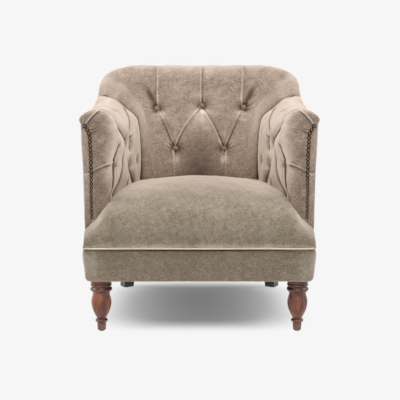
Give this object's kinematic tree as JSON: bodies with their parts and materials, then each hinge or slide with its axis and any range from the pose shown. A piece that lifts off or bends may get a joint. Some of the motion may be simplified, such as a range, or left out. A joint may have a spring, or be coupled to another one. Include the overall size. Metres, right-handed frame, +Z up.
{
  "type": "tub chair",
  "caption": "Deep-buttoned velvet tub chair with a high-crowned sprung seat, scrolled arms, close-nailed arm fronts, turned front legs and raked back legs.",
  "frame": {"origin": "on the floor, under the middle of the chair's overall width and depth", "axes": "+Z up, the chair faces -Y, +X to the right of someone looking at its front"},
  "size_m": [0.7456, 0.788, 0.83],
  "materials": {
    "antique_brass": "antique bronze patina",
    "beech_timber": "sawn, unfinished",
    "bolt_steel": "zinc plated",
    "dark_wood": "dark stain, satin lacquer",
    "foam": "upholstery foam and fibre",
    "glide_plastic": "moulded",
    "jute_webbing": "woven jute",
    "lining_cloth": "non-woven and hessian lining",
    "spring_steel": "oiled wire",
    "turned_wood": "reddish brown stain, gloss lacquer",
    "velvet": "taupe cotton velvet, short pile"
  },
  "bodies": {
    "root": {"arm_buttons_left": "velvet", "arm_buttons_right": "velvet", "arm_nails_left": "antique_brass", "arm_nails_right": "antique_brass", "arm_webbing_left": "jute_webbing", "arm_webbing_right": "jute_webbing", "back_buttons": "velvet", "back_webbing": "jute_webbing", "dust_cover": "lining_cloth", "frame_arm_post_left": "beech_timber", "frame_arm_post_right": "beech_timber", "frame_arm_rail_left": "beech_timber", "frame_arm_rail_right": "beech_timber", "frame_arm_tack_rail_left": "beech_timber", "frame_arm_tack_rail_right": "beech_timber", "frame_back_rail": "beech_timber", "frame_back_tack_rail": "beech_timber", "frame_corner_rail_left": "beech_timber", "frame_corner_rail_right": "beech_timber", "frame_crest_rail": "beech_timber", "frame_front_block_left": "beech_timber", "frame_front_block_right": "beech_timber", "frame_front_rail": "beech_timber", "frame_rear_block_left": "beech_timber", "frame_rear_block_right": "beech_timber", "frame_rear_post_left": "beech_timber", "frame_rear_post_right": "beech_timber", "frame_side_post_left": "beech_timber", "frame_side_post_right": "beech_timber", "frame_side_rail_left": "beech_timber", "frame_side_rail_right": "beech_timber", "frame_wing_rail_left": "beech_timber", "frame_wing_rail_right": "beech_timber", "front_border": "velvet", "glide_front_left": "glide_plastic", "glide_front_right": "glide_plastic", "glide_rear_left": "glide_plastic", "glide_rear_right": "glide_plastic", "inside_arm_left": "velvet", "inside_arm_right": "velvet", "inside_back": "velvet", "leg_bolt_front_left": "bolt_steel", "leg_bolt_front_right": "bolt_steel", "leg_bolt_rear_left": "bolt_steel", "leg_bolt_rear_right": "bolt_steel", "leg_front_left": "turned_wood", "leg_front_right": "turned_wood", "leg_rear_left": "dark_wood", "leg_rear_right": "dark_wood", "lip_welt": "velvet", "outside_arm_left": "velvet", "outside_arm_right": "velvet", "outside_back": "velvet", "seat_cover": "velvet", "seat_filling": "foam", "seat_hessian": "lining_cloth", "seat_springs": "spring_steel", "spring_clips": "spring_steel"}
  },
  "joints": []
}
